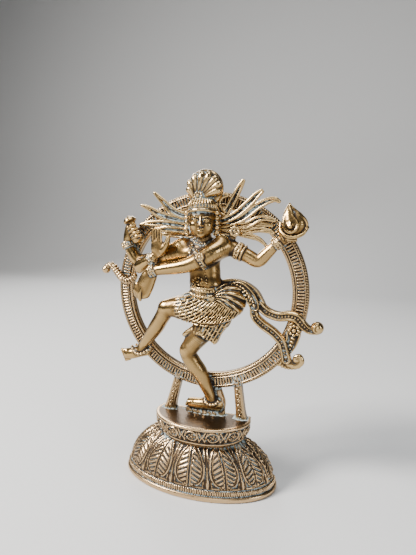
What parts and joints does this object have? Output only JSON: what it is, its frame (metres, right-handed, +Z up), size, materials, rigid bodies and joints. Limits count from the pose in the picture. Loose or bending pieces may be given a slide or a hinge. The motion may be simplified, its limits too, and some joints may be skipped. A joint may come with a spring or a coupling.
{
  "type": "nataraja statue",
  "caption": "Aged brass dancing figure with raised leg and several arms, standing inside a halo ring on a petalled lotus pedestal.",
  "frame": {"origin": "on the surface the pedestal stands on, midway between the pedestal's ends, 4.5 mm in front of its flat back", "axes": "+Z up, +X to the right of somebody facing the figure, -Y out of the figure's front"},
  "size_m": [0.091, 0.0216, 0.125],
  "materials": {
    "figure_brass": "aged, rubbed bright on raised forms",
    "hair_brass": "aged, dark in the grooves",
    "dress_brass": "aged, dark in the grooves",
    "trim_brass": "aged, worn beads",
    "ring_brass": "aged, coppery brown",
    "pedestal_brass": "aged, coppery brown with pale residue"
  },
  "bodies": {
    "root": {"halo_ring": "ring_brass", "ring_post_left": "ring_brass", "ring_post_right": "ring_brass", "foot_pad": "pedestal_brass", "plinth": "pedestal_brass", "lotus_base": "pedestal_brass", "standing_leg": "figure_brass", "raised_leg": "figure_brass", "head": "figure_brass", "torso": "figure_brass", "front_left_arm": "figure_brass", "front_right_arm": "figure_brass", "rear_left_arm": "figure_brass", "rear_right_arm": "figure_brass", "belt": "dress_brass", "skirt_upper": "dress_brass", "skirt_lower": "dress_brass", "crown_band": "hair_brass", "topknot": "hair_brass", "hair_locks_left": "hair_brass", "hair_locks_right": "hair_brass", "earring_left": "trim_brass", "earring_right": "trim_brass", "necklace": "trim_brass", "shoulder_knob": "trim_brass", "hand_drum": "figure_brass", "flame_bowl": "figure_brass", "sash_loop": "dress_brass", "sash_upper_tail": "dress_brass", "sash_lower_tail": "dress_brass", "sash_clasp": "dress_brass", "ring_serpent": "ring_brass", "standing_anklet": "trim_brass", "raised_anklet": "trim_brass", "front_left_armlet": "trim_brass", "front_left_bracelet": "trim_brass", "front_right_bracelet": "trim_brass", "rear_left_armlet": "trim_brass", "rear_left_bracelet": "trim_brass", "rear_right_bracelet": "trim_brass"}
  },
  "joints": []
}
